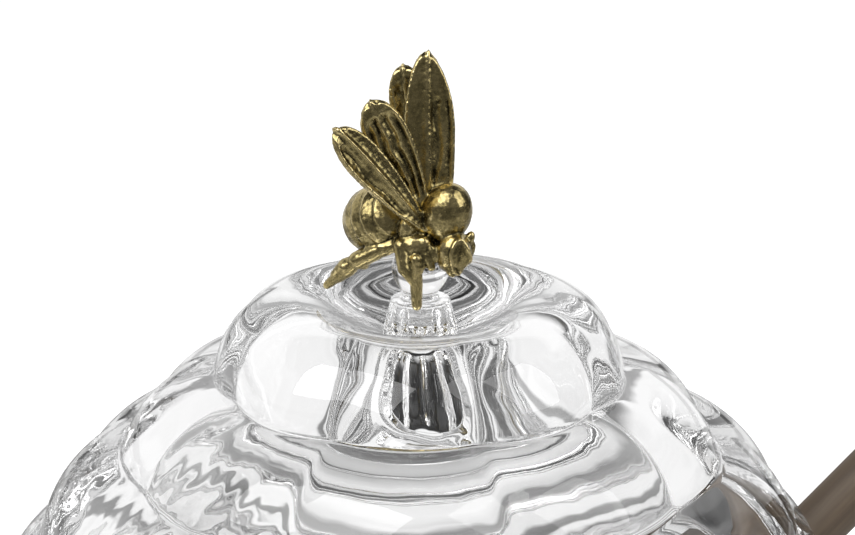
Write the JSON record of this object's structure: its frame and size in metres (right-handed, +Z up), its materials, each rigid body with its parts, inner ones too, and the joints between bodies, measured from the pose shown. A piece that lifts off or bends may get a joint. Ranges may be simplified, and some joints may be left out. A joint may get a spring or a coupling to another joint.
{
  "type": "honey pot",
  "caption": "Clear pressed-glass beehive honey pot: lobed, tiered lid and bowl, cast metal bee on the lid's glass knob, wooden dipper leaning out through a slanted port at the seam.",
  "frame": {"origin": "centre of the flat base, in the plane of the table", "axes": "+Z up along the pot's axis, -Y towards the front, +X to the side the dipper leans out of"},
  "size_m": [0.1964, 0.127, 0.1236],
  "materials": {
    "clear_glass": "fire-polished, clear and colourless",
    "antique_brass": "cast and antiqued, dark in the hollows and rubbed bright on the ridges",
    "dark_wood": "oiled, turned"
  },
  "bodies": {
    "root": {"lid": "clear_glass", "pot": "clear_glass", "bee": "antique_brass", "dipper": "dark_wood"}
  },
  "joints": []
}
